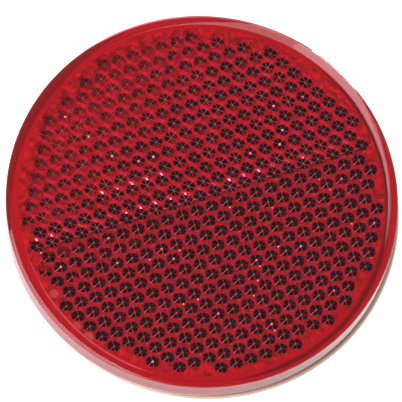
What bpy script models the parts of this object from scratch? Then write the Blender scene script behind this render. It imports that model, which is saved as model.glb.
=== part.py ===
# Round self-adhesive reflex reflector, 60 mm across.
#
# Frame: metres, +Z up and out of the front of the lens, origin on the axis of the
# lens, at the underside.  +X runs along the rows of prisms and along the line between
# the two optical zones, +Y points from the lower zone to the upper one.
#
# Pieces, from the underside up:
#   release_liner   coated paper disc over the adhesive, peels off about its -X edge
#   foam_pad        double-sided foam disc that sticks the reflector down
#   back_plate      moulded cover welded into the skirt of the lens, closes the air gap
#   reflector_lens  clear red moulding: rounded rim, skirt and the cube-corner field

import math

import bmesh
import bpy
from mathutils import Matrix

MM = 0.001

# ---- driving dimensions, millimetres ---------------------------------------
LENS_R = 30.0            # outside radius of the lens at the foot of the skirt
SIDE_TOP_R = 29.88       # outside radius at the top of the side wall (mould draft)
SKIRT_BORE_R = 28.7      # inside radius of the skirt
SKIRT_FOOT_Z = 1.85      # lower edge of the skirt
SIDE_TOP_Z = 5.60        # where the side wall starts to round over
RIM_CREST_Z = 6.25       # top of the rounded rim
FACE_Z = 6.20            # flat front face
UNDERSIDE_Z = 4.70       # flat underside around the prisms
LENS_SEGMENTS = 96

PIN_PITCH = 2.382        # 3/32 inch between hexagonal prism pins
FIELD_R = 26.94          # a pin is used when its centre lies inside this radius
FIELD_CENTRE = (0.056, 0.168)  # the insert of pins sits slightly off the lens axis
FIELD_PHASE = (2.568, 1.155)   # centre of the pin in row 0, column 0
APEX_Z = 2.45            # tips of the cube corners
BORDER_ROW_LIFT = 0.26   # the row on the zone border is made of shorter pins

PLATE_R = 29.7
PLATE_Z0 = 0.95
PLATE_Z1 = 1.75
SPIGOT_R0 = 28.15        # locating ring that stands inside the skirt
SPIGOT_R1 = 28.50
SPIGOT_Z = 2.80
PLATE_SEGMENTS = 96

PAD_R = 29.75
PAD_Z0 = 0.25
PAD_Z1 = 0.85
PAD_SEGMENTS = 72
PAD_SHIFT = (0.48, -0.26)      # pad and liner are stuck on slightly off centre

LINER_R = 30.0
LINER_Z0 = 0.0
LINER_Z1 = 0.15
LINER_SEGMENTS = 96

# cube-corner proportions: three mutually square faces over a hexagon
HEX_R = PIN_PITCH / math.sqrt(3.0)          # centre to corner of the hexagon
CUBE_EDGE = HEX_R * math.sqrt(1.5)
STEP_H = CUBE_EDGE / math.sqrt(3.0)         # tip to the lower ring of corners
ROW_GAP = PIN_PITCH * math.sqrt(3.0) / 2.0

# ---- scene -----------------------------------------------------------------
for old in list(bpy.data.objects):
    bpy.data.objects.remove(old, do_unlink=True)


def material(name, colour, roughness, metallic=0.0, alpha=1.0, transmission=0.0):
    mat = bpy.data.materials.new(name)
    mat.use_nodes = True
    bsdf = mat.node_tree.nodes["Principled BSDF"]
    bsdf.inputs["Base Color"].default_value = (*colour, 1.0)
    bsdf.inputs["Roughness"].default_value = roughness
    bsdf.inputs["Metallic"].default_value = metallic
    bsdf.inputs["Alpha"].default_value = alpha
    bsdf.inputs["Transmission Weight"].default_value = transmission
    mat.diffuse_color = (*colour, alpha)
    return mat


def add_object(name, bm, mat, parent=None, origin=(0.0, 0.0, 0.0), sharp_deg=28.0):
    """Make an object whose origin is at origin, given a mesh in world metres."""
    bmesh.ops.recalc_face_normals(bm, faces=bm.faces)
    bmesh.ops.transform(bm, matrix=Matrix.Translation([-c for c in origin]),
                        verts=bm.verts)
    mesh = bpy.data.meshes.new(name)
    bm.to_mesh(mesh)
    bm.free()
    mesh.materials.append(mat)
    mesh.shade_smooth()
    mesh.set_sharp_from_angle(angle=math.radians(sharp_deg))
    obj = bpy.data.objects.new(name, mesh)
    bpy.context.scene.collection.objects.link(obj)
    obj.location = origin
    if parent is not None:
        obj.parent = parent
        obj.location = (0.0, 0.0, 0.0)
    return obj


def ring(bm, radius, z, segments):
    return [bm.verts.new((radius * MM * math.cos(2 * math.pi * k / segments),
                          radius * MM * math.sin(2 * math.pi * k / segments),
                          z * MM)) for k in range(segments)]


def skin(bm, rings):
    for low, high in zip(rings, rings[1:]):
        n = len(low)
        for k in range(n):
            bm.faces.new((low[k], low[(k + 1) % n], high[(k + 1) % n], high[k]))


def turned_disc(profile, segments, centre=(0.0, 0.0)):
    """A closed disc: the first and last points of the profile are capped flat."""
    bm = bmesh.new()
    rings = [ring(bm, r, z, segments) for r, z in profile]
    skin(bm, rings)
    bm.faces.new(rings[0])
    bm.faces.new(rings[-1])
    bmesh.ops.translate(bm, vec=(centre[0] * MM, centre[1] * MM, 0.0), verts=bm.verts)
    return bm


# ---- the field of cube corners ---------------------------------------------
def pin_centre(col, row):
    return (FIELD_PHASE[0] + PIN_PITCH * (col + 0.5 * (row % 2)),
            FIELD_PHASE[1] + ROW_GAP * row)


def field_pins():
    span = int(FIELD_R / ROW_GAP) + 4
    pins = []
    for row in range(-span, span + 1):
        for col in range(-span, span + 1):
            x, y = pin_centre(col, row)
            if math.hypot(x - FIELD_CENTRE[0], y - FIELD_CENTRE[1]) <= FIELD_R:
                pins.append((col, row))
    return pins


def pin_tip_z(row):
    return APEX_Z + (BORDER_ROW_LIFT if row == 0 else 0.0)


def corner_z(row, k):
    """Height of corner k of a pin, k counted from 30 degrees in steps of 60."""
    upper_zone = row >= 0
    low = (k % 2 == 0) if upper_zone else (k % 2 == 1)
    return pin_tip_z(row) + (STEP_H if low else 2.0 * STEP_H)


def corner_is_low(row, k):
    return (k % 2 == 0) if row >= 0 else (k % 2 == 1)


def build_field(bm):
    """Cube corners and their side walls; returns the outline at UNDERSIDE_Z."""
    verts = {}

    def vert(x, y, z):
        key = (round(x * 1e4), round(y * 1e4), round(z * 1e4))
        if key not in verts:
            verts[key] = bm.verts.new((x * MM, y * MM, z * MM))
        return verts[key]

    # hexagon edges, keyed by their two corner places
    sides = {}
    heights = {}
    pins = field_pins()
    for col, row in pins:
        x, y = pin_centre(col, row)
        for k in range(6):
            a0 = math.radians(30 + 60 * k)
            a1 = math.radians(90 + 60 * k)
            p = (x + HEX_R * math.cos(a0), y + HEX_R * math.sin(a0))
            q = (x + HEX_R * math.cos(a1), y + HEX_R * math.sin(a1))
            kp = (round(p[0] * 1e3), round(p[1] * 1e3))
            kq = (round(q[0] * 1e3), round(q[1] * 1e3))
            zp, zq = corner_z(row, k), corner_z(row, (k + 1) % 6)
            heights.setdefault(kp, set()).add(round(zp, 6))
            heights.setdefault(kq, set()).add(round(zq, 6))
            sides.setdefault(frozenset((kp, kq)), []).append(
                ((col, row, k), {kp: (p, zp), kq: (q, zq)}))

    # where two neighbours cross in height along their shared side
    crossings = {}
    outline = []
    for pair, users in sides.items():
        ka, kb = sorted(pair)
        if len(users) == 1:
            ends = users[0][1]
            (pa, za), (pb, zb) = ends[ka], ends[kb]
            for kk in (ka, kb):
                heights[kk].add(round(UNDERSIDE_Z, 6))
            outline.append((ka, kb, pa, pb, za, zb))
            continue
        e0, e1 = users[0][1], users[1][1]
        da = e0[ka][1] - e1[ka][1]
        db = e0[kb][1] - e1[kb][1]
        if da * db < -1e-9:
            t = da / (da - db)
            pa, pb = e0[ka][0], e0[kb][0]
            x = pa[0] + (pb[0] - pa[0]) * t
            y = pa[1] + (pb[1] - pa[1]) * t
            z = e0[ka][1] + (e0[kb][1] - e0[ka][1]) * t
            crossings[users[0][0]] = crossings[users[1][0]] = (x, y, z)

    # the three square faces of each pin
    for col, row in pins:
        x, y = pin_centre(col, row)
        tip = vert(x, y, pin_tip_z(row))
        corner = []
        for k in range(6):
            a = math.radians(30 + 60 * k)
            corner.append(vert(x + HEX_R * math.cos(a), y + HEX_R * math.sin(a),
                               corner_z(row, k)))
        for k in range(6):
            if not corner_is_low(row, k):
                continue
            loop = [tip, corner[k]]
            for kk in (k, (k + 1) % 6):
                cross = crossings.get((col, row, kk))
                if cross:
                    loop.append(vert(*cross))
                loop.append(corner[(kk + 1) % 6])
            bm.faces.new(loop)

    def column(key, p, z0, z1):
        """Corner points standing over p from z0 to z1, with every level between."""
        lo, hi = min(z0, z1), max(z0, z1)
        levels = [z for z in sorted(heights[key]) if lo + 1e-5 < z < hi - 1e-5]
        stack = [lo] + levels + [hi]
        if z0 > z1:
            stack.reverse()
        if hi - lo < 1e-5:
            stack = [z0]
        return [vert(p[0], p[1], z) for z in stack]

    # upright steps between neighbours of unequal height
    for pair, users in sides.items():
        if len(users) != 2:
            continue
        ka, kb = sorted(pair)
        e0, e1 = users[0][1], users[1][1]
        pa, pb = e0[ka][0], e0[kb][0]
        a0, a1, b0, b1 = e0[ka][1], e1[ka][1], e0[kb][1], e1[kb][1]
        if abs(a0 - a1) < 1e-5 and abs(b0 - b1) < 1e-5:
            continue
        cross = crossings.get(users[0][0])
        if cross:
            c = vert(*cross)
            bm.faces.new(column(ka, pa, a0, a1) + [c])
            bm.faces.new(column(kb, pb, b0, b1) + [c])
        else:
            bm.faces.new(column(ka, pa, a1, a0) + column(kb, pb, b0, b1))

    # upright wall around the whole field
    edges = []
    for ka, kb, pa, pb, za, zb in outline:
        bm.faces.new(column(ka, pa, UNDERSIDE_Z, za) + column(kb, pb, zb, UNDERSIDE_Z))
        ta, tb = vert(*pa, UNDERSIDE_Z), vert(*pb, UNDERSIDE_Z)
        edges.append(bm.edges.get((ta, tb)) or bm.edges.new((ta, tb)))
    return edges


def build_lens():
    bm = bmesh.new()
    outline = build_field(bm)
    bore = ring(bm, SKIRT_BORE_R, UNDERSIDE_Z, LENS_SEGMENTS)
    bore_edges = [bm.edges.new((bore[k], bore[(k + 1) % LENS_SEGMENTS]))
                  for k in range(LENS_SEGMENTS)]
    bmesh.ops.triangle_fill(bm, use_beauty=True, use_dissolve=False,
                            edges=outline + bore_edges)
    r = LENS_R
    profile = [
        (SKIRT_BORE_R, SKIRT_FOOT_Z),
        (r - 0.15, SKIRT_FOOT_Z),
        (r, SKIRT_FOOT_Z + 0.15),
        (SIDE_TOP_R, SIDE_TOP_Z),
        (SIDE_TOP_R - 0.07, SIDE_TOP_Z + 0.15),
        (SIDE_TOP_R - 0.25, SIDE_TOP_Z + 0.27),
        (SIDE_TOP_R - 0.75, RIM_CREST_Z - 0.18),
        (SIDE_TOP_R - 1.30, RIM_CREST_Z - 0.04),
        (SIDE_TOP_R - 1.75, RIM_CREST_Z),
        (SIDE_TOP_R - 2.40, RIM_CREST_Z - 0.02),
        (SIDE_TOP_R - 2.90, FACE_Z),
    ]
    rings = [bore] + [ring(bm, pr, pz, LENS_SEGMENTS) for pr, pz in profile]
    skin(bm, rings)
    bm.faces.new(rings[-1])
    return bm


# ---- materials -------------------------------------------------------------
RED_ACRYLIC = material("red_acrylic", (0.60, 0.012, 0.030), 0.05, transmission=0.6,
                       alpha=0.75)
PLATE_ABS = material("plate_abs", (0.44, 0.28, 0.24), 0.45)
PE_FOAM = material("pe_foam", (0.62, 0.38, 0.31), 0.9)
LINER_PAPER = material("liner_paper", (0.84, 0.88, 0.76), 0.35)

# ---- fixed pieces ----------------------------------------------------------
lens = add_object("reflector_lens", build_lens(), RED_ACRYLIC)

plate = add_object("back_plate", turned_disc([
    (PLATE_R - 0.25, PLATE_Z0),
    (PLATE_R, PLATE_Z0 + 0.25),
    (PLATE_R, PLATE_Z1),
    (SPIGOT_R1, PLATE_Z1),
    (SPIGOT_R1, SPIGOT_Z - 0.1),
    (SPIGOT_R1 - 0.1, SPIGOT_Z),
    (SPIGOT_R0, SPIGOT_Z),
    (SPIGOT_R0, PLATE_Z1),
    (SPIGOT_R0 - 1.2, PLATE_Z1),
    (SPIGOT_R0 - 1.4, PLATE_Z1 - 0.15),
], PLATE_SEGMENTS), PLATE_ABS)

pad = add_object("foam_pad", turned_disc([
    (PAD_R, PAD_Z0), (PAD_R + 0.08, PAD_Z0 + 0.15),
    (PAD_R + 0.08, PAD_Z1 - 0.15), (PAD_R, PAD_Z1)], PAD_SEGMENTS, PAD_SHIFT), PE_FOAM)

# ---- the liner, hung on an empty on its peel line --------------------------
PEEL_LINE = ((PAD_SHIFT[0] - LINER_R) * MM, PAD_SHIFT[1] * MM,
             0.5 * (LINER_Z0 + LINER_Z1) * MM)
peel = bpy.data.objects.new("liner_peel_axis", None)
peel.location = PEEL_LINE
bpy.context.scene.collection.objects.link(peel)
liner = add_object("release_liner", turned_disc([
    (LINER_R, LINER_Z0), (LINER_R, LINER_Z1)], LINER_SEGMENTS, PAD_SHIFT), LINER_PAPER,
    parent=peel, origin=PEEL_LINE)
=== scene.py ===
import math
import random

import bmesh
import bpy
from mathutils import Matrix, Vector
from mathutils.geometry import delaunay_2d_cdt


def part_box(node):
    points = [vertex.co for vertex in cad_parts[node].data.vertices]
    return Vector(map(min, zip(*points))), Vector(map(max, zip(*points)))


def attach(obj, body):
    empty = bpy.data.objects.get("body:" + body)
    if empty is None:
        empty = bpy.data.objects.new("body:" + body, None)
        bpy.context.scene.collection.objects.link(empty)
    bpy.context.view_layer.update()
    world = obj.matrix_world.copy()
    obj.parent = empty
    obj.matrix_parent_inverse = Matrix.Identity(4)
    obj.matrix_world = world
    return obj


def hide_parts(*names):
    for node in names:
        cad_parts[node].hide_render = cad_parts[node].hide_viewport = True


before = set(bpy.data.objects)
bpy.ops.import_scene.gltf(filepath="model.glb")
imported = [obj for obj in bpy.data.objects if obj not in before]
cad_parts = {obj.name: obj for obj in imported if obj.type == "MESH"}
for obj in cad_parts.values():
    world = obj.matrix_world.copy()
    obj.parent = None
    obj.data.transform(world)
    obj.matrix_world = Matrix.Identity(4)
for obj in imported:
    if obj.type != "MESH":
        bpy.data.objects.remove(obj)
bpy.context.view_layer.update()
SC = bpy.context.scene
MM = 0.001
rnd = random.Random(60238)

# ---------------------------------------------------------------- places from CAD
lens_lo, lens_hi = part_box("reflector_lens")
plate_lo, plate_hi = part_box("back_plate")
pad_lo, pad_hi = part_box("foam_pad")
liner_lo, liner_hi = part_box("release_liner")

R = lens_hi[0] / MM                 # 30.0 outside radius of the lens
CREST_Z = lens_hi[2] / MM           # 6.25 top of the rounded rim
FOOT_Z = lens_lo[2] / MM            # 1.85 lower edge of the skirt
FACE_Z = CREST_Z - 0.05             # flat front face
UNDER_Z = CREST_Z - 1.55            # flat underside round the prisms
SIDE_TOP_Z = CREST_Z - 0.65
SIDE_TOP_R = R - 0.12
BORE_R = R - 1.3
APEX_Z = 2.45
PITCH = 2.382
FIELD_R = 26.94
FIELD_CENTRE = (0.056, 0.168)       # the pins sit slightly off the lens axis
PHASE = (2.568, 1.155)
ROW0_LIFT = 0.26
HEX_R = PITCH / math.sqrt(3.0)
STEP_H = HEX_R * math.sqrt(1.5) / math.sqrt(3.0)
ROW_GAP = PITCH * math.sqrt(3.0) / 2.0
PLATE_Z1 = 1.75                     # upper face of the cover, the foot of its ring
SPIGOT = (28.15, 28.50)             # inner and outer radius of that ring
SEG = 288

# ---------------------------------------------------------------- material helpers


def new_mat(name):
    m = bpy.data.materials.new(name)
    m.use_nodes = True
    nt = m.node_tree
    return m, nt, nt.nodes["Principled BSDF"]


def node(nt, kind, **inputs):
    n = nt.nodes.new(kind)
    for k, v in inputs.items():
        if k in n.inputs:
            n.inputs[k].default_value = v
    return n


def noise(nt, scale, detail=4.0, rough=0.5, stretch=None):
    tc = nt.nodes.new("ShaderNodeTexCoord")
    src = tc.outputs["Object"]
    if stretch:
        mp = nt.nodes.new("ShaderNodeMapping")
        mp.inputs["Scale"].default_value = stretch
        nt.links.new(src, mp.inputs["Vector"])
        src = mp.outputs["Vector"]
    n = nt.nodes.new("ShaderNodeTexNoise")
    n.inputs["Scale"].default_value = scale
    n.inputs["Detail"].default_value = detail
    n.inputs["Roughness"].default_value = rough
    nt.links.new(src, n.inputs["Vector"])
    return n.outputs["Fac"]


def ramp(nt, fac, stops):
    r = nt.nodes.new("ShaderNodeValToRGB")
    e = r.color_ramp.elements
    while len(e) > 1:
        e.remove(e[-1])
    e[0].position = stops[0][0]
    for p, c in stops[1:]:
        e.new(p)
    for i, (p, c) in enumerate(sorted(stops)):
        e[i].color = c if len(c) == 4 else (*c, 1.0)
    nt.links.new(fac, r.inputs["Fac"])
    return r.outputs["Color"]


def spread(nt, fac, lo, hi):
    mr = nt.nodes.new("ShaderNodeMapRange")
    mr.inputs["From Min"].default_value = 0.3
    mr.inputs["From Max"].default_value = 0.7
    mr.inputs["To Min"].default_value = lo
    mr.inputs["To Max"].default_value = hi
    nt.links.new(fac, mr.inputs["Value"])
    return mr.outputs["Result"]


def bump(nt, bsdf, fac, strength, distance):
    b = nt.nodes.new("ShaderNodeBump")
    b.inputs["Strength"].default_value = strength
    b.inputs["Distance"].default_value = distance
    nt.links.new(fac, b.inputs["Height"])
    nt.links.new(b.outputs["Normal"], bsdf.inputs["Normal"])


def mottled(name, colour, rough, metallic=0.0, vary=0.16, scale=900.0, specular=0.5):
    """Moulded facet material: one colour with a fine cloud of darker and lighter."""
    m, nt, b = new_mat(name)
    f = noise(nt, scale, 3.0, 0.55)
    lo = tuple(max(c * (1 - vary), 0.0) for c in colour)
    hi = tuple(min(c * (1 + vary), 1.0) for c in colour)
    nt.links.new(ramp(nt, f, [(0.30, lo), (0.70, hi)]), b.inputs["Base Color"])
    nt.links.new(spread(nt, f, rough * 0.85, min(rough * 1.15, 1.0)), b.inputs["Roughness"])
    b.inputs["Metallic"].default_value = metallic
    b.inputs["Specular IOR Level"].default_value = specular
    return m


# ---------------------------------------------------------------- materials
def red_acrylic():
    m, nt, b = new_mat("red_acrylic_clear")
    b.inputs["Base Color"].default_value = (0.97, 0.22, 0.27, 1.0)
    b.inputs["Transmission Weight"].default_value = 1.0
    b.inputs["Roughness"].default_value = 0.0
    b.inputs["IOR"].default_value = 1.49
    vol = nt.nodes.new("ShaderNodeVolumeAbsorption")
    dens = 90.0
    vol.inputs["Density"].default_value = dens
    vol.inputs["Color"].default_value = (1 - 4.0 / dens, 1 - 88.0 / dens, 1 - 70.0 / dens, 1)
    nt.links.new(vol.outputs[0], nt.nodes["Material Output"].inputs["Volume"])
    bump(nt, b, noise(nt, 40.0, 1.0, 0.4), 0.03, 0.00004)
    return m


def clouded(name, stops, scale, rough=0.5, detail=3.0):
    """Moulded facet material whose colour drifts through several tones."""
    m, nt, b = new_mat(name)
    f = noise(nt, scale, detail, 0.6)
    nt.links.new(ramp(nt, f, stops), b.inputs["Base Color"])
    nt.links.new(spread(nt, f, rough * 0.85, min(rough * 1.15, 1.0)), b.inputs["Roughness"])
    b.inputs["Specular IOR Level"].default_value = 0.0
    return m


M_LENS = red_acrylic()
# painted dark reflection: the lobes of each prism, in three tints, and dimmer and faded kinds
M_LOBE = mottled("painted_dark_reflection", (0.008, 0.050, 0.060), 0.5, specular=0.0)
M_LOBE_B = mottled("painted_dark_reflection_blue", (0.016, 0.060, 0.150), 0.5, specular=0.0)
M_LOBE_G = mottled("painted_dark_reflection_green", (0.014, 0.110, 0.040), 0.5, specular=0.0)
M_LOBE2 = clouded("painted_dim_reflection", [(0.35, (0.02, 0.05, 0.04)), (0.60, (0.16, 0.08, 0.06))], 1900.0)
M_LOBE3 = clouded("painted_faded_reflection", [(0.36, (0.07, 0.07, 0.04)), (0.50, (0.24, 0.10, 0.07)),
                                  (0.64, (0.60, 0.09, 0.12))], 2100.0)
# painted edge of the reflection round the lobes
M_FRINGE = clouded("painted_reflection_fringe", [(0.38, (0.16, 0.07, 0.05)), (0.62, (0.44, 0.09, 0.10))], 2100.0)
M_GROUT = clouded("prism_red", [(0.33, (0.47, 0.11, 0.12)), (0.45, (0.88, 0.13, 0.28)),
                                (0.60, (0.94, 0.15, 0.32)), (0.72, (1.0, 0.27, 0.43))], 1500.0)
# painted shade: a darker copy of the prisms' red for the lower prisms
M_GROUT_LOW = clouded("painted_shade_red_low", [(0.33, (0.32, 0.10, 0.09)), (0.46, (0.63, 0.13, 0.20)),
                                        (0.60, (0.72, 0.15, 0.25)), (0.72, (0.96, 0.29, 0.32))],
                      1500.0)
# painted highlight on the prism edges, dim
M_LINE_DIM = mottled("painted_edge_highlight_dim", (0.15, 0.13, 0.13), 0.4, vary=0.3, specular=0.0)
# painted highlight at the prisms' corners
M_SPOT = mottled("painted_corner_highlight", (1.0, 0.50, 0.55), 0.4, vary=0.10, specular=0.0)
# painted shade: a deeper copy of the prisms' red, for parts of the upper prisms and for faded lobes
M_GROUT2 = clouded("painted_shade_red_deep", [(0.33, (0.34, 0.07, 0.07)), (0.48, (0.66, 0.08, 0.12)),
                                      (0.66, (0.92, 0.08, 0.17))], 1700.0)
M_BORDER = clouded("prism_border", [(0.34, (0.26, 0.07, 0.05)), (0.48, (0.52, 0.07, 0.08)),
                                    (0.66, (0.86, 0.07, 0.12))], 850.0)
# painted highlights on the prism edges, plain and pale; the bright one also serves the painted glints and
# corner highlights
M_LINE = mottled("painted_edge_highlight", (0.40, 0.60, 0.70), 0.4, specular=0.0)
M_LINE_B = mottled("painted_edge_highlight_pale", (0.80, 0.95, 0.98), 0.4, specular=0.0)
M_LINE2 = mottled("painted_highlight_bright", (0.95, 0.95, 0.95), 0.4, vary=0.05, specular=0.0)
# painted highlight on the prism tips
M_DOT = mottled("painted_tip_highlight", (0.99, 0.92, 0.85), 0.4, vary=0.05, specular=0.0)
M_DOT_B = mottled("painted_tip_highlight_bright", (0.99, 0.99, 0.99), 0.4, vary=0.0, specular=0.0)
M_GLINT = mottled("prism_glint", (1.0, 1.0, 1.0), 0.12, metallic=1.0, vary=0.0)
# painted glint: a pale diffuse face in place of a reflection of the lamp
M_PINK = mottled("prism_glint_pink", (1.0, 0.95, 0.95), 0.3, vary=0.04)
M_CORE = mottled("acrylic_depth", (0.58, 0.010, 0.045), 0.5, vary=0.05, scale=260.0)
# painted shade on the depth colour of the rim
M_CORE_SHADE = mottled("painted_shade_acrylic_depth", (0.31, 0.014, 0.016), 0.5, vary=0.05, scale=260.0)
# painted shade: a darker copy of the depth colour, seen through the side wall
M_CORE_WALL_SHADE = mottled("painted_shade_acrylic_wall", (0.37, 0.010, 0.022), 0.5, vary=0.05, scale=260.0)
# painted highlight, painted dark band and painted half shade along the seam inside the rim
M_RIM_HIGHLIGHT = mottled("painted_rim_highlight", (0.68, 0.45, 0.45), 0.5, vary=0.10, scale=260.0)
M_RIM_SHADE = mottled("painted_rim_shade", (0.20, 0.020, 0.020), 0.5, vary=0.10, scale=260.0)
M_RIM_HALF_SHADE = mottled("painted_rim_half_shade", (0.38, 0.010, 0.020), 0.5, vary=0.10, scale=260.0)
M_FLAT = mottled("prism_flat", (0.56, 0.42, 0.34), 0.4, vary=0.16)
PRISM_MATS = [M_GROUT, M_LOBE, M_LOBE2, M_LOBE3, M_LINE, M_LINE2, M_DOT, M_GLINT,
              M_PINK, M_FLAT, M_GROUT2, M_FRINGE, M_LOBE_B, M_LOBE_G, M_LINE_B, M_DOT_B,
              M_BORDER, M_GROUT_LOW, M_LINE_DIM, M_SPOT]
(GROUT, LOBE, LOBE2, LOBE3, LINE, LINE2, DOT, GLINT, PINK, FLAT, GROUT2, FRINGE,
 LOBE_B, LOBE_G, LINE_B, DOT_B, BORDER, GROUT_LOW, LINE_DIM, SPOT) = range(20)


# ---------------------------------------------------------------- mesh helpers
def finish_mesh(name, bm, mats, sharp=28.0, recalc=True):
    if recalc:
        bmesh.ops.recalc_face_normals(bm, faces=bm.faces)
    me = bpy.data.meshes.new(name)
    bm.to_mesh(me)
    bm.free()
    for m in mats:
        me.materials.append(m)
    me.shade_smooth()
    me.set_sharp_from_angle(angle=math.radians(sharp))
    ob = bpy.data.objects.new(name, me)
    SC.collection.objects.link(ob)
    return ob


def ring(bm, r, z, seg=SEG):
    return [bm.verts.new((r * MM * math.cos(2 * math.pi * k / seg),
                          r * MM * math.sin(2 * math.pi * k / seg), z * MM))
            for k in range(seg)]


def skin(bm, rings):
    for a, b in zip(rings, rings[1:]):
        n = len(a)
        for k in range(n):
            bm.faces.new((a[k], a[(k + 1) % n], b[(k + 1) % n], b[k]))


def turned(profile, seg=SEG):
    bm = bmesh.new()
    rings = [ring(bm, r, z, seg) for r, z in profile]
    skin(bm, rings)
    bm.faces.new(rings[0])
    bm.faces.new(rings[-1])
    return bm


def arc(cx, cz, r, a0, a1, n):
    """Profile points on an arc, angles in degrees, both ends included."""
    return [(cx + r * math.cos(math.radians(a0 + (a1 - a0) * i / n)),
             cz + r * math.sin(math.radians(a0 + (a1 - a0) * i / n))) for i in range(n + 1)]


def smooth_profile(points, steps=6):
    """Catmull-Rom through the points, for the turned shapes."""
    out = []
    pts = [points[0]] + list(points) + [points[-1]]
    for i in range(1, len(pts) - 2):
        p0, p1, p2, p3 = pts[i - 1], pts[i], pts[i + 1], pts[i + 2]
        for s in range(steps):
            t = s / steps
            out.append(tuple(
                0.5 * ((2 * p1[c]) + (-p0[c] + p2[c]) * t
                       + (2 * p0[c] - 5 * p1[c] + 4 * p2[c] - p3[c]) * t * t
                       + (-p0[c] + 3 * p1[c] - 3 * p2[c] + p3[c]) * t ** 3) for c in (0, 1)))
    out.append(points[-1])
    return out


# ---------------------------------------------------------------- cube-corner field
def pin_centre(col, row):
    return (PHASE[0] + PITCH * (col + 0.5 * (row % 2)), PHASE[1] + ROW_GAP * row)


def pins_in(radius):
    span = int(radius / ROW_GAP) + 4
    out = []
    for row in range(-span, span + 1):
        for col in range(-span, span + 1):
            x, y = pin_centre(col, row)
            if math.hypot(x - FIELD_CENTRE[0], y - FIELD_CENTRE[1]) <= radius:
                out.append((col, row))
    return out


PINS = pins_in(FIELD_R)


def tip_z(row):
    return APEX_Z + (ROW0_LIFT if row == 0 else 0.0)


def is_low(row, k):
    return (k % 2 == 0) if row >= 0 else (k % 2 == 1)


def corner_z(row, k):
    return tip_z(row) + (STEP_H if is_low(row, k) else 2.0 * STEP_H)


def glass_field(bm):
    """The cube corners of the lens, as in the model, with their upright steps."""
    verts = {}

    def vert(x, y, z):
        key = (round(x * 1e4), round(y * 1e4), round(z * 1e4))
        if key not in verts:
            verts[key] = bm.verts.new((x * MM, y * MM, z * MM))
        return verts[key]

    sides, heights = {}, {}
    for col, row in PINS:
        x, y = pin_centre(col, row)
        for k in range(6):
            a0, a1 = math.radians(30 + 60 * k), math.radians(90 + 60 * k)
            p = (x + HEX_R * math.cos(a0), y + HEX_R * math.sin(a0))
            q = (x + HEX_R * math.cos(a1), y + HEX_R * math.sin(a1))
            kp = (round(p[0] * 1e3), round(p[1] * 1e3))
            kq = (round(q[0] * 1e3), round(q[1] * 1e3))
            zp, zq = corner_z(row, k), corner_z(row, (k + 1) % 6)
            heights.setdefault(kp, set()).add(round(zp, 6))
            heights.setdefault(kq, set()).add(round(zq, 6))
            sides.setdefault(frozenset((kp, kq)), []).append(
                ((col, row, k), {kp: (p, zp), kq: (q, zq)}))
    crossings, outline = {}, []
    for pair, users in sides.items():
        ka, kb = sorted(pair)
        if len(users) == 1:
            (pa, za), (pb, zb) = users[0][1][ka], users[0][1][kb]
            heights[ka].add(round(UNDER_Z, 6))
            heights[kb].add(round(UNDER_Z, 6))
            outline.append((ka, kb, pa, pb, za, zb))
            continue
        e0, e1 = users[0][1], users[1][1]
        da, db = e0[ka][1] - e1[ka][1], e0[kb][1] - e1[kb][1]
        if da * db < -1e-9:
            t = da / (da - db)
            pa, pb = e0[ka][0], e0[kb][0]
            c = (pa[0] + (pb[0] - pa[0]) * t, pa[1] + (pb[1] - pa[1]) * t,
                 e0[ka][1] + (e0[kb][1] - e0[ka][1]) * t)
            crossings[users[0][0]] = crossings[users[1][0]] = c
    for col, row in PINS:
        x, y = pin_centre(col, row)
        tip = vert(x, y, tip_z(row))
        corner = [vert(x + HEX_R * math.cos(math.radians(30 + 60 * k)),
                       y + HEX_R * math.sin(math.radians(30 + 60 * k)),
                       corner_z(row, k)) for k in range(6)]
        for k in range(6):
            if not is_low(row, k):
                continue
            loop = [tip, corner[k]]
            for kk in (k, (k + 1) % 6):
                c = crossings.get((col, row, kk))
                if c:
                    loop.append(vert(*c))
                loop.append(corner[(kk + 1) % 6])
            bm.faces.new(loop)

    def column(key, p, z0, z1):
        lo, hi = min(z0, z1), max(z0, z1)
        if hi - lo < 1e-5:
            return [vert(p[0], p[1], z0)]
        stack = [lo] + [z for z in sorted(heights[key]) if lo + 1e-5 < z < hi - 1e-5] + [hi]
        if z0 > z1:
            stack.reverse()
        return [vert(p[0], p[1], z) for z in stack]

    for pair, users in sides.items():
        if len(users) != 2:
            continue
        ka, kb = sorted(pair)
        e0, e1 = users[0][1], users[1][1]
        pa, pb = e0[ka][0], e0[kb][0]
        a0, a1, b0, b1 = e0[ka][1], e1[ka][1], e0[kb][1], e1[kb][1]
        if abs(a0 - a1) < 1e-5 and abs(b0 - b1) < 1e-5:
            continue
        c = crossings.get(users[0][0])
        if c:
            c = vert(*c)
            bm.faces.new(column(ka, pa, a0, a1) + [c])
            bm.faces.new(column(kb, pb, b0, b1) + [c])
        else:
            bm.faces.new(column(ka, pa, a1, a0) + column(kb, pb, b0, b1))
    edges = []
    for ka, kb, pa, pb, za, zb in outline:
        bm.faces.new(column(ka, pa, UNDER_Z, za) + column(kb, pb, zb, UNDER_Z))
        ta, tb = vert(*pa, UNDER_Z), vert(*pb, UNDER_Z)
        edges.append(bm.edges.get((ta, tb)) or bm.edges.new((ta, tb)))
    return edges


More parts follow.
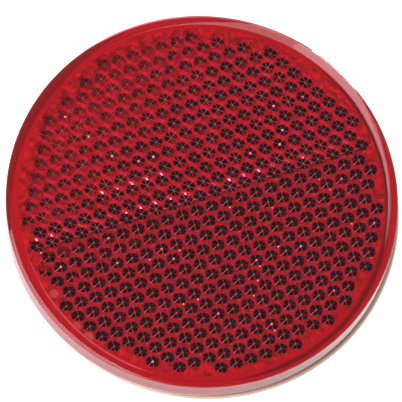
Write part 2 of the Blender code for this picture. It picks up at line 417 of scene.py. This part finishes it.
def lens_profile():
    z0 = FOOT_Z
    s = SIDE_TOP_R
    foot = [(BORE_R, z0 + 0.06), (BORE_R + 0.06, z0), (R - 0.15, z0), (R - 0.045, z0 + 0.035),
            (R - 0.004, z0 + 0.12)]
    for i in range(1, 8):                       # the draft of the side wall
        t = i / 8
        foot.append((R + (s - R) * (0.05 + 0.95 * t), z0 + 0.12 + (SIDE_TOP_Z - z0 - 0.12) * t))
    foot.append((s, SIDE_TOP_Z))
    shoulder = arc(s - 0.29, SIDE_TOP_Z, 0.29, 8, 58, 7)
    crown = smooth_profile([
        (s - 0.29 + 0.29 * math.cos(math.radians(63)), SIDE_TOP_Z + 0.29 * math.sin(math.radians(63))),
        (s - 0.28, CREST_Z - 0.332),
        (s - 0.48, CREST_Z - 0.243),
        (s - 0.68, CREST_Z - 0.172),
        (s - 1.08, CREST_Z - 0.070),
        (s - 1.48, CREST_Z - 0.012),
        (s - 1.75, CREST_Z),
        (s - 2.30, CREST_Z - 0.010),
        (s - 2.90, CREST_Z - 0.028),
        (s - 3.50, CREST_Z - 0.043),
        (s - 4.10, FACE_Z)], 4)
    crown = [(r, min(z, CREST_Z)) for r, z in crown]
    return foot + shoulder + crown


def build_lens():
    bm = bmesh.new()
    outline = glass_field(bm)
    bore = ring(bm, BORE_R, UNDER_Z)
    bore_edges = [bm.edges.new((bore[k], bore[(k + 1) % SEG])) for k in range(SEG)]
    bmesh.ops.triangle_fill(bm, use_beauty=True, use_dissolve=False, edges=outline + bore_edges)
    rings = [bore] + [ring(bm, r, z) for r, z in lens_profile()]
    skin(bm, rings)
    bm.faces.new(rings[-1])
    return finish_mesh("lens_body", bm, [M_LENS], 30.0)


# -- what each prism shows, painted on its three square faces: dark reflection, edge highlights, tip highlight ---
# A prism works inside the part of its hexagon that its own reflection covers.
# LEAN is how far the line of sight of this scene's camera leans inside the acrylic,
# sideways for each unit of height.  The pattern is fixed to the facets: it doesn't
# follow the camera in other views.
LEAN = (0.1086, 0.2048)


def to_seen(x, y, h):
    return (x + LEAN[0] * h, y + LEAN[1] * h)


def from_seen(u, v, beta):
    """Place on the square face that rises towards beta, as (x, y, height)."""
    s = math.sqrt(2.0)
    cb, sb = math.cos(beta), math.sin(beta)
    a11, a12 = 1 + LEAN[0] * s * cb, LEAN[0] * s * sb
    a21, a22 = LEAN[1] * s * cb, 1 + LEAN[1] * s * sb
    det = a11 * a22 - a12 * a21
    x = (u * a22 - v * a12) / det
    y = (v * a11 - u * a21) / det
    return (x, y, s * (x * cb + y * sb))


def inside(pt, poly):
    x, y = pt
    hit = False
    n = len(poly)
    for i in range(n):
        (x0, y0), (x1, y1) = poly[i], poly[(i + 1) % n]
        if (y0 > y) != (y1 > y) and x < (x1 - x0) * (y - y0) / (y1 - y0) + x0:
            hit = not hit
    return hit


DOT_R = 0.150
PETAL_IN = 0.24


def cell_pattern(upper, row0=False, extra_glint=False):
    """Faces of one prism: lists of ((x, y, h) triples, part name) with shared corners."""
    mid_a = [30, 150, 270] if upper else [90, 210, 330]
    val_a = [90, 210, 330] if upper else [30, 150, 270]
    mids = [to_seen(HEX_R * math.cos(math.radians(a)), HEX_R * math.sin(math.radians(a)), STEP_H)
            for a in mid_a]
    vals = [to_seen(HEX_R * math.cos(math.radians(a)), HEX_R * math.sin(math.radians(a)),
                    2 * STEP_H) for a in val_a]
    # the seen outline, counter-clockwise, and its half-planes
    order = sorted([(a, m) for a, m in zip(mid_a, mids)] + [(a, v) for a, v in zip(val_a, vals)])
    outline = [p for _, p in order]
    planes = []
    for i in range(6):
        (x0, y0), (x1, y1) = outline[i], outline[(i + 1) % 6]
        nx, ny = (y1 - y0), -(x1 - x0)
        ln = math.hypot(nx, ny)
        planes.append((nx / ln, ny / ln, (x0 * nx + y0 * ny) / ln))
    planes += [(-nx, -ny, d) for nx, ny, d in planes]

    def reach(phi, margin=0.0, p=15.0):
        c, s = math.cos(phi), math.sin(phi)
        acc = 0.0
        for nx, ny, d in planes:
            k = nx * c + ny * s
            if k > 1e-6:
                acc += ((d - margin) / k) ** -p
        acc += 1.075 ** -p
        return acc ** (-1.0 / p)

    faces = []
    for f in range(3):
        # square face f rises towards vals[f]; its two lower corners are mids
        beta = math.radians(val_a[f])
        lows = [i for i in range(3)
                if abs(((mid_a[i] - val_a[f] + 180) % 360) - 180) < 61]
        lows.sort(key=lambda i: ((mid_a[i] - val_a[f] + 180) % 360) - 180)
        ea, eb = mids[lows[0]], mids[lows[1]]
        other = [i for i in range(3) if i not in lows][0]
        im = (-mids[other][0], -mids[other][1])
        aa, ab = math.atan2(ea[1], ea[0]), math.atan2(eb[1], eb[0])
        ai = math.atan2(im[1], im[0])
        while ab < aa:
            ab += 2 * math.pi
        while ai < aa:
            ai += 2 * math.pi
        polys = []          # (polygon, part)
        strong = {lows[0]: ea, lows[1]: eb}
        # painted highlights on the edges of the cube: half of each strip lies on this face
        for idx, (e, sign) in enumerate(((ea, 1), (eb, -1))):
            k = lows[idx]
            bright = (not upper) and mid_a[k] == 210
            w0, w1 = (0.045, 0.085) if bright else (0.036, 0.036)
            ln = math.hypot(*e)
            ux, uy = e[0] / ln, e[1] / ln
            nx, ny = -uy * sign, ux * sign
            end = ln if bright else ln * 0.80
            tip = (ux * end, uy * end)
            near = (ux * DOT_R * 0.9, uy * DOT_R * 0.9)
            tail = end - (0.10 if bright else 0.05)
            polys.append(([near, tip, (ux * tail + nx * w1, uy * tail + ny * w1),
                           (near[0] + nx * w0, near[1] + ny * w0)],
                          "bright" if bright else "line%d" % mid_a[k]))
        # painted reflection: the image of the third edge
        ln = math.hypot(*im)
        ux, uy = im[0] / ln, im[1] / ln
        nx, ny = -uy, ux
        w = 0.030
        s0, s1 = DOT_R * 0.9, reach(ai) * 0.98
        polys.append(([(ux * s0 + nx * w, uy * s0 + ny * w), (ux * s0 - nx * w, uy * s0 - ny * w),
                       (ux * s1 - nx * w, uy * s1 - ny * w), (ux * (s1 + 0.03), uy * (s1 + 0.03)),
                       (ux * s1 + nx * w, uy * s1 + ny * w)], "line%d" % ((mid_a[other] + 180) % 360)))
        # the two lobes, painted dark reflection
        for a0, a1, half0, half1 in ((aa, ai, 0.056, 0.046), (ai, ab, 0.046, 0.056)):
            mid = 0.5 * (a0 + a1)
            lobe = []
            # inner corner, where the two offset lines meet
            inner = PETAL_IN
            n = 10
            for i in range(n + 1):
                t = i / n
                a = a0 + (a1 - a0) * t
                rr = reach(a)
                # keep off the two lines
                off0 = math.asin(min(1.0, (half0 + 0.012) / rr))
                off1 = math.asin(min(1.0, (half1 + 0.012) / rr))
                aa_ = a0 + off0 + (a1 - a0 - off0 - off1) * t
                edge = 0.985 - 0.34 * (abs(2 * t - 1) ** 2.5)
                lobe.append((rr * edge * math.cos(aa_), rr * edge * math.sin(aa_)))
            for a, half, sgn in ((a1, half1, -1), (a0, half0, 1)):
                ux, uy = math.cos(a), math.sin(a)
                ends = ((0.62, 1.0), (0.24, 1.0)) if sgn < 0 else ((0.24, 1.0), (0.62, 1.0))
                for far, _ in ends:
                    at = inner + (far - 0.24)
                    off = half + 0.012 + (0.0 if far < 0.5 else 0.010)
                    lobe.append((ux * at - uy * sgn * off, uy * at + ux * sgn * off))
            polys.append((lobe, "lobe%d" % (round(math.degrees(mid)) % 360)))
        # painted edge of the reflection round the lobes
        fringe = [(0.0, 0.0)]
        for i in range(13):
            a = aa + (ab - aa) * i / 12
            rr = reach(a) * 1.01
            fringe.append((rr * math.cos(a), rr * math.sin(a)))
        polys.append((fringe, "fringe"))
        # tip: this face's share of the painted highlight on the tip
        dots = [(0.0, 0.0)]
        for i in range(4):
            a = aa + (ab - aa) * i / 3
            dots.append((DOT_R * math.cos(a), DOT_R * math.sin(a)))
        polys.append((dots, "dot"))
        # glints near one corner: a mirror face and a painted glint
        if (row0 or extra_glint) and val_a[f] == 90:
            polys.append(([(-0.24, 1.34), (-0.06, 1.20), (0.10, 1.24), (0.13, 1.40),
                           (-0.04, 1.50)], "pink"))
            polys.append(([(0.16, 1.28), (0.14, 1.02), (0.24, 0.80), (0.40, 0.82),
                           (0.42, 1.02), (0.30, 1.26)], "glint"))
        # painted highlights at two valley corners of the lower prisms
        if not upper and val_a[f] in (30, 150):
            vx, vy = vals[f]
            g = 0.13
            polys.append(([(vx * 0.93 - g, vy * 0.93), (vx * 0.93, vy * 0.93 - g * 0.8),
                           (vx * 0.93 + g * 0.8, vy * 0.93), (vx * 0.93, vy * 0.93 + g * 0.9)],
                          "spot%d" % val_a[f]))
        # painted glints at two corners of the border-row prisms
        if row0 and val_a[f] in (210, 330):
            vx, vy = vals[f]
            g = 0.16
            sx = -1 if val_a[f] == 330 else 1
            cx, cy = vx + sx * 0.12, vy + 0.0
            polys.append(([(cx - g, cy), (cx, cy - g * 0.55), (cx + g, cy), (cx, cy + g * 0.6)],
                          "pink2"))
        # triangulate the face with these shapes in it
        pts, edges = [], []

        def add(p):
            pts.append(Vector(p))
            return len(pts) - 1

        quad = [(0.0, 0.0), ea, vals[f], eb]
        polys_all = [(quad, "grout")] + polys
        for poly, _ in polys_all:
            ids = [add(p) for p in poly]
            edges += [(ids[i], ids[(i + 1) % len(ids)]) for i in range(len(ids))]
        res = delaunay_2d_cdt(pts, edges, [], 1, 1e-5)
        ov, of = res[0], res[2]
        for tri in of:
            tp = [(ov[i][0], ov[i][1]) for i in tri]
            cx = sum(p[0] for p in tp) / len(tp)
            cy = sum(p[1] for p in tp) / len(tp)
            if not inside((cx, cy), quad):
                continue
            part = "grout"
            for want in ("glint", "pink", "pink2", "spot30", "spot150", "dot", "bright",
                         "line30", "line90", "line150", "line210", "line270", "line330"):
                if any(pn == want and inside((cx, cy), poly) for poly, pn in polys):
                    part = want
                    break
            else:
                if inside((cx, cy), fringe):
                    part = "fringe"
                else:
                    # painted shade: in the upper prisms the red outside these bands is drawn deeper
                    here = math.degrees(math.atan2(cy, cx)) % 360
                    bands = (((22, 92), (135, 165), (222, 290)) if upper
                             else ((0, 360),))
                    part = "grout" if any(lo <= here <= hi for lo, hi in bands) else "grout2"
                for poly, pn in polys:
                    if pn.startswith("lobe") and inside((cx, cy), poly):
                        part = pn
            faces.append(([from_seen(p[0], p[1], beta) for p in tp], part))
    return faces


GLINT_TILT = (0.2336, 0.1165, 1.0)


# -- the depth of the rim, with painted highlight and shade ------------------
# What shows through the clear rim: painted highlight and shade along the welded seam of the skirt
# and along the ring of the cover behind it, drawn where they appear from this scene's camera.
SEAM_LIGHT_SHADE = [(150, 27.75), (175, 27.95), (200, 28.28), (230, 28.70), (262, 29.05), (300, 28.90),
        (330, 28.35), (360, 28.05), (385, 27.95), (450, 27.75), (510, 27.75)]
RING_B = [(255, 26.9), (270, 27.15), (300, 27.35), (330, 27.10), (350, 26.9)]


def along(table, ang):
    while ang < table[0][0]:
        ang += 360
    while ang > table[-1][0]:
        ang -= 360
    for (a0, r0), (a1, r1) in zip(table, table[1:]):
        if a0 <= ang <= a1:
            return r0 + (r1 - r0) * (ang - a0) / (a1 - a0)
    return None


def smooth(t):
    t = min(1.0, max(0.0, t))
    return t * t * (3 - 2 * t)


# painted shade: from which radius outwards the rim is drawn darker, by angle
SHADE = [(60, 30.2), (85, 29.6), (100, 28.9), (120, 28.1), (138, 28.35), (150, 28.65),
         (165, 29.1), (185, 29.8), (205, 30.2), (420, 30.2)]


def core_part(r, ang):
    """Slot for this place on the sheet: the depth colour, painted shade, the painted highlight, the painted
    dark band or painted half shade.
    """
    seen = r + 0.33 * math.cos(math.radians(ang - 242))
    at = along(SEAM_LIGHT_SHADE, ang)
    off = abs(seen - at)
    # painted highlight along the seam
    if 168 <= ang <= 236 and off < 0.13 * smooth((ang - 166) / 10) * smooth((238 - ang) / 12):
        return 2
    turn = ang if ang > 180 else ang + 360
    # painted dark band along the seam, with painted half shade at its edges
    if 255 <= turn <= 396:
        wide = smooth((turn - 255) / 25) * smooth((400 - turn) / 30)
        if off < 0.20 * wide:
            return 3
        if off < 0.42 * wide:
            return 4
    # painted half shade along the ring of the cover
    if 262 <= turn <= 352 and abs(seen - along(RING_B, min(turn, 350))) < 0.10:
        return 4
    if seen > along(SHADE, ang):
        return 1
    return 0


def build_core():
    """The depth of colour inside the rim and skirt, a sheet just under their surface, with painted shade and a
    painted highlight on it.
    """
    shape = [(27.95, UNDER_Z + 0.05), (28.62, UNDER_Z + 0.05), (28.85, UNDER_Z + 0.12),
             (29.45, UNDER_Z + 0.12), (29.58, UNDER_Z), (29.64, UNDER_Z - 0.3),
             (29.66, FOOT_Z + 0.5), (29.66, FOOT_Z + 0.05)]
    prof = []
    for (r0, z0), (r1, z1) in zip(shape, shape[1:]):
        n = max(1, int(round(abs(r1 - r0) / 0.035)))
        prof += [(r0 + (r1 - r0) * i / n, z0 + (z1 - z0) * i / n) for i in range(n)]
    prof.append(shape[-1])
    bm = bmesh.new()
    skin(bm, [ring(bm, r, z) for r, z in prof])
    for f in bm.faces:
        f.normal_update()
        c = f.calc_center_median()
        if f.normal.z < -1e-6 or (abs(f.normal.z) < 1e-6 and f.normal.x * c.x + f.normal.y * c.y < 0):
            f.normal_flip()
        # painted shade: what shows through the side wall gets the darker copy
        if c.z / MM < UNDER_Z - 0.1:            # what shows through the side wall
            f.material_index = 5
            continue
        f.material_index = core_part(math.hypot(c.x, c.y) / MM,
                                     math.degrees(math.atan2(c.y, c.x)) % 360)
    return finish_mesh("rim_core", bm, [M_CORE, M_CORE_SHADE, M_RIM_HIGHLIGHT, M_RIM_SHADE, M_RIM_HALF_SHADE,
                                            M_CORE_WALL_SHADE], 40.0, recalc=False)


LIFT = 0.030            # the drawn faces lie this far inside the acrylic
FLAT_R = 28.15


# painted reflection: which dark reflection each lobe gets, and where the lobes fade into red
def lobe_mat(row, x, y, angle):
    pick = rnd.random()
    dark = LOBE if pick < 0.62 else LOBE_B if pick < 0.80 else LOBE_G if pick < 0.95 else LOBE2
    if row < 0:
        if row >= -3 and x < -11 and rnd.random() < 0.55 - 0.12 * abs(row) - 0.02 * (x + 26):
            return LOBE3 if rnd.random() < 0.6 else GROUT2
        return dark
    s = -0.5 * x + 0.866 * y
    low = 205 < angle < 335
    if row in (0, 1):
        return dark
    if low:
        t = s + rnd.uniform(-2, 2)
        return dark if t < 2 else LOBE2 if t < 7 else LOBE3 if t < 15 else GROUT2
    right = angle > 335 or angle < 25
    t = s + rnd.uniform(-2, 2) + (3 if right else 0)
    return dark if t < 14 else LOBE2 if t < 20 else LOBE3


def build_prisms():
    kinds = {"up": cell_pattern(True), "down": cell_pattern(False),
             "row0": cell_pattern(True, row0=True), "extra": cell_pattern(True, extra_glint=True)}
    bm = bmesh.new()
    cache = {}

    def vert(x, y, z):
        key = (round(x * 2e4), round(y * 2e4), round(z * 2e4))
        if key not in cache:
            cache[key] = bm.verts.new((x * MM, y * MM, z * MM))
        return cache[key]

    for col, row in PINS:
        x, y = pin_centre(col, row)
        kind = "row0" if row == 0 else "up" if row > 0 else "down"
        if row == 2 and -14.5 < x < -4.5:
            kind = "extra"
        za = tip_z(row) + LIFT
        mats = {}
        dim, line_dim, dot_dim = rnd.random(), rnd.random(), rnd.random()
        for tri, part in kinds[kind]:
            if part not in mats:
                if part.startswith("lobe"):
                    mats[part] = lobe_mat(row, x, y, int(part[4:]))
                elif part == "glint":
                    mats[part] = GLINT if dim < 0.75 else PINK
                elif part == "pink2":
                    mats[part] = PINK if dim < 0.7 else LINE2
                elif part.startswith("spot"):
                    pick = rnd.random()
                    mats[part] = (GLINT if pick < 0.04 else PINK if pick < 0.09
                                  else LINE2 if pick < 0.18 else SPOT if pick < 0.50
                                  else GROUT_LOW)
                elif part.startswith("line"):
                    # painted edge highlights, dimmer on the lower prisms
                    dull = row < 0 and part not in ("line90", "line270")
                    mats[part] = LINE_DIM if dull else LINE_B if line_dim < 0.30 else LINE
                elif part == "dot":
                    mats[part] = GLINT if dot_dim < 0.07 else DOT_B if dot_dim < 0.42 else DOT
                else:
                    # painted shade: the lower prisms get the darker red
                    mats[part] = {"grout": GROUT_LOW if row < 0 else GROUT, "grout2": GROUT2,
                                  "fringe": FRINGE,
                                  "bright": LINE2, "pink": PINK}[part]
            vs = [vert(x + p[0], y + p[1], za + p[2]) for p in tri]
            if len(set(vs)) < 3:
                continue
            try:
                f = bm.faces.new(vs)
            except ValueError:
                continue
            f.material_index = mats[part]
    # flat, unformed pins round the edge of the field
    used = set(PINS)
    for col, row in pins_in(FLAT_R + 1.4):
        if (col, row) in used:
            continue
        x, y = pin_centre(col, row)
        hexa = [(x + HEX_R * math.cos(math.radians(30 + 60 * k)),
                 y + HEX_R * math.sin(math.radians(30 + 60 * k))) for k in range(6)]
        # cut by the edge circle: keep the corners inside it
        poly = []
        for i in range(6):
            p, q = hexa[i], hexa[(i + 1) % 6]
            rp, rq = math.hypot(*p), math.hypot(*q)
            if rp <= FLAT_R:
                poly.append(p)
            if (rp <= FLAT_R) != (rq <= FLAT_R):
                lo, hi = 0.0, 1.0
                for _ in range(24):
                    t = 0.5 * (lo + hi)
                    rm = math.hypot(p[0] + (q[0] - p[0]) * t, p[1] + (q[1] - p[1]) * t)
                    if (rm <= FLAT_R) == (rp <= FLAT_R):
                        lo = t
                    else:
                        hi = t
                poly.append((p[0] + (q[0] - p[0]) * lo, p[1] + (q[1] - p[1]) * lo))
        if len(poly) < 3:
            continue
        area = 0.5 * abs(sum(poly[i][0] * poly[(i + 1) % len(poly)][1]
                             - poly[(i + 1) % len(poly)][0] * poly[i][1]
                             for i in range(len(poly))))
        if area < 0.02:
            continue
        ang = math.degrees(math.atan2(y, x)) % 360
        pale = 140 < ang < 232 and area > 0.5
        pick = rnd.random()
        rim = [vert(p[0], p[1], UNDER_Z + LIFT) for p in poly]
        if pale and pick < 0.24:                # a pale pin end inside its red border
            mx = sum(p[0] for p in poly) / len(poly)
            my = sum(p[1] for p in poly) / len(poly)
            k = 0.45 + 0.25 * pick / 0.24
            end = [vert(mx + (p[0] - mx) * k, my + (p[1] - my) * k, UNDER_Z + LIFT) for p in poly]
            for i in range(len(poly)):
                j = (i + 1) % len(poly)
                bm.faces.new([rim[i], rim[j], end[j], end[i]]).material_index = BORDER
            bm.faces.new(end).material_index = FLAT
        else:
            bm.faces.new(rim).material_index = BORDER
    bmesh.ops.recalc_face_normals(bm, faces=bm.faces)
    # every drawn face looks out through the front of the lens
    for f in bm.faces:
        if f.normal.z < 0:
            f.normal_flip()
    ob = finish_mesh("prism_faces", bm, PRISM_MATS, 20.0, recalc=False)
    # the faces are moulded with slightly rounded edges, so their shading turns
    # gently; the glints keep the small tilt that makes them catch the light
    me = ob.data
    up = Vector((0, 0, 1))
    normals = [up] * len(me.loops)
    glint = Vector(GLINT_TILT).normalized()
    for p in me.polygons:
        if p.material_index == GLINT:
            turn = Vector((rnd.uniform(-0.035, 0.035), rnd.uniform(-0.035, 0.035), 0.0))
            n = (glint + turn).normalized()
        else:
            n = (p.normal * 0.30 + up * 0.70).normalized()
        for li in p.loop_indices:
            normals[li] = n
    me.normals_split_custom_set([tuple(n) for n in normals])
    return ob


# ---------------------------------------------------------------- plate, pad, liner
def plate_mat():
    m, nt, b = new_mat("plate_abs_matt_painted_shade")
    f = noise(nt, 700.0, 5.0, 0.6)
    # painted shade: darker and pinker than the plate's own pale ABS, for the shade and red light under the lens
    nt.links.new(ramp(nt, f, [(0.3, (0.38, 0.21, 0.18)), (0.7, (0.46, 0.28, 0.24))]),
                 b.inputs["Base Color"])
    nt.links.new(spread(nt, f, 0.38, 0.55), b.inputs["Roughness"])
    bump(nt, b, noise(nt, 2600.0, 3.0), 0.25, 0.00003)
    return m


def foam_mat():
    m, nt, b = new_mat("pe_foam_cells_painted_shade")
    tc = nt.nodes.new("ShaderNodeTexCoord")
    v = nt.nodes.new("ShaderNodeTexVoronoi")
    v.inputs["Scale"].default_value = 3300.0
    nt.links.new(tc.outputs["Object"], v.inputs["Vector"])
    # painted shade: the foam cells are drawn darker and redder than their own pale pinkish tan, for the shade
    # and red light under the lens overhang
    nt.links.new(ramp(nt, v.outputs["Distance"], [(0.0, (0.58, 0.35, 0.29)),
                                                  (0.75, (0.46, 0.26, 0.21))]),
                 b.inputs["Base Color"])
    b.inputs["Roughness"].default_value = 0.9
    bump(nt, b, v.outputs["Distance"], 0.5, 0.00006)
    return m


def liner_mat():
    m, nt, b = new_mat("liner_glassine")
    f = noise(nt, 260.0, 6.0, 0.62, stretch=(1.0, 3.5, 1.0))
    nt.links.new(ramp(nt, f, [(0.25, (0.72, 0.77, 0.68)), (0.55, (0.79, 0.83, 0.76)),
                              (0.8, (0.84, 0.87, 0.82))]), b.inputs["Base Color"])
    nt.links.new(spread(nt, f, 0.30, 0.50), b.inputs["Roughness"])
    bump(nt, b, noise(nt, 1500.0, 4.0), 0.15, 0.00002)
    return m


def build_plate():
    r = plate_hi[0] / MM
    z0, z1, zs = plate_lo[2] / MM, PLATE_Z1, plate_hi[2] / MM
    a, b = SPIGOT
    prof = ([(r - 1.3, z0), (r - 0.30, z0)] + arc(r - 0.25, z0 + 0.25, 0.25, -75, 0, 5)
            + [(r, z1 - 0.06), (r - 0.02, z1 - 0.02), (r - 0.06, z1),
               (r - 0.55, z1), (r - 0.61, z1 + 0.05), (r - 0.67, z1),      # weld bead
               (b + 0.06, z1), (b, z1 + 0.06), (b, zs - 0.08), (b - 0.08, zs),
               (a + 0.08, zs), (a, zs - 0.08), (a, z1 + 0.06), (a - 0.06, z1),
               (a - 1.20, z1), (a - 1.40, z1 - 0.15), (12.0, z1 - 0.15), (11.8, z1 - 0.03),
               (11.2, z1 - 0.03), (11.0, z1 - 0.15)])
    return finish_mesh("plate_cover", turned(prof), [plate_mat()], 35.0)


def disc_place(lo, hi):
    """Radius and centre of a disc from its box in the model."""
    return ((hi[0] - lo[0]) / 2 / MM, (hi[0] + lo[0]) / 2 / MM, (hi[1] + lo[1]) / 2 / MM)


def build_foam():
    r0, cx, cy = disc_place(pad_lo, pad_hi)
    z0, z1 = pad_lo[2] / MM, pad_hi[2] / MM
    bm = bmesh.new()
    levels = 6
    rings = []
    for i in range(levels + 1):
        t = i / levels
        z = z0 + (z1 - z0) * t
        row = []
        for k in range(SEG):
            a = 2 * math.pi * k / SEG
            bulge = 0.05 * math.sin(math.pi * t)
            rough = 0.02 * (math.sin(37 * a + 5 * t) + math.sin(91 * a + 2.1 + 9 * t)) * (0.3 + t * (1 - t) * 2)
            rr = r0 - 0.10 + bulge + rough
            row.append(bm.verts.new((rr * MM * math.cos(a), rr * MM * math.sin(a), z * MM)))
        rings.append(row)
    inner_low = [bm.verts.new((v.co.x * 0.985, v.co.y * 0.985, v.co.z)) for v in rings[0]]
    inner_top = [bm.verts.new((v.co.x * 0.985, v.co.y * 0.985, v.co.z)) for v in rings[-1]]
    skin(bm, [inner_low] + rings + [inner_top])
    bm.faces.new(inner_low)
    bm.faces.new(inner_top)
    bmesh.ops.translate(bm, vec=(cx * MM, cy * MM, 0.0), verts=bm.verts)
    return finish_mesh("foam_disc", bm, [foam_mat()], 40.0)


def build_liner():
    r0, cx, cy = disc_place(liner_lo, liner_hi)
    z0, z1 = liner_lo[2] / MM, liner_hi[2] / MM
    prof = [(r0 - 1.2, z0), (r0 - 0.02, z0), (r0, z0 + 0.02), (r0, z1 - 0.03),
            (r0 - 0.02, z1 - 0.01), (r0 - 1.2, z1 - 0.01)]
    bm = turned(prof)
    bmesh.ops.translate(bm, vec=(cx * MM, cy * MM, 0.0), verts=bm.verts)
    return finish_mesh("liner_sheet", bm, [liner_mat()], 30.0)


# ---------------------------------------------------------------- make the pieces
lens = build_lens()
prisms = build_prisms()
core = build_core()
plate = build_plate()
foam = build_foam()
liner = build_liner()
for ob in (lens, prisms, core, plate, foam):
    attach(ob, "reflector")
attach(liner, "liner")
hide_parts("reflector_lens")
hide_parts("back_plate")
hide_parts("foam_pad")
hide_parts("release_liner")

# ---------------------------------------------------------------- floor
bm = bmesh.new()
bmesh.ops.create_grid(bm, x_segments=1, y_segments=1, size=2.5)
fme = bpy.data.meshes.new("studio_floor")
bm.to_mesh(fme)
bm.free()
fmat, fnt, fb = new_mat("studio_floor_white")
fb.inputs["Base Color"].default_value = (0.40, 0.40, 0.40, 1)
fb.inputs["Emission Color"].default_value = (1.0, 1.0, 1.0, 1)
fb.inputs["Emission Strength"].default_value = 1.05
fb.inputs["Roughness"].default_value = 0.75
fb.inputs["Specular IOR Level"].default_value = 0.2
fme.materials.append(fmat)
floor = bpy.data.objects.new("studio_floor", fme)
floor.location = (0, 0, -0.00002)
SC.collection.objects.link(floor)

# ---------------------------------------------------------------- light
world = bpy.data.worlds.new("studio")
SC.world = world
world.use_nodes = True
wnt = world.node_tree
bg = wnt.nodes["Background"]
tc = wnt.nodes.new("ShaderNodeTexCoord")
sep = wnt.nodes.new("ShaderNodeSeparateXYZ")
wnt.links.new(tc.outputs["Generated"], sep.inputs[0])
dome = ramp(wnt, sep.outputs["Z"], [(0.0, (0.55,) * 3), (0.45, (0.42,) * 3),
                                     (0.80, (0.26,) * 3), (1.0, (0.18,) * 3)])
wnt.links.new(dome, bg.inputs["Color"])
bg.inputs["Strength"].default_value = 1.0


def softbox(name, part_angle, elevation, size, power, dist=0.9):
    a, e = math.radians(part_angle), math.radians(elevation)
    pos = Vector((math.cos(a) * math.cos(e), math.sin(a) * math.cos(e), math.sin(e))) * dist
    l = bpy.data.lights.new(name, "AREA")
    l.shape = "RECTANGLE"
    l.size, l.size_y = size
    l.energy = power
    o = bpy.data.objects.new(name, l)
    o.location = pos
    o.rotation_euler = (-pos).to_track_quat("-Z", "Y").to_euler()
    SC.collection.objects.link(o)
    return o


softbox("key_softbox", 44, 43, (0.46, 0.82), 2.9)
softbox("key_core", 40, 43, (0.24, 0.82), 1.5)
softbox("fill_softbox", 194, 30, (1.25, 0.95), 15.5)
softbox("sparkle_light", 38, 15, (0.20, 0.17), 3.1)

# ---------------------------------------------------------------- camera
AZ, EL, ROLL, DIST = -27.288, 70.921, 8.639, 0.700
A, E = math.radians(AZ), math.radians(EL)
aim = Vector((0, 0, (CREST_Z - 0.5) * MM))
toward = Vector((math.sin(A) * math.cos(E), -math.cos(A) * math.cos(E), math.sin(E)))
cam_data = bpy.data.cameras.new("camera")
cam = bpy.data.objects.new("camera", cam_data)
SC.collection.objects.link(cam)
cam.location = aim + toward * DIST
cam.rotation_euler = ((-toward).to_track_quat("-Z", "Y").to_matrix()
                      @ Matrix.Rotation(math.radians(ROLL), 3, "Z")).to_euler()
cam_data.sensor_width = 36.0
cam_data.lens = 36.0 * 6.578 * 700.0 / 402.0
cam_data.shift_x = -(202.305 - 201.0) / 402.0
cam_data.shift_y = (199.023 - 201.0) / 402.0
cam_data.clip_start = 0.01
SC.camera = cam

SC.view_settings.view_transform = "Standard"
SC.cycles.max_bounces = 16
SC.cycles.transmission_bounces = 14
SC.cycles.glossy_bounces = 10
SC.cycles.diffuse_bounces = 4
SC.cycles.sample_clamp_indirect = 6.0
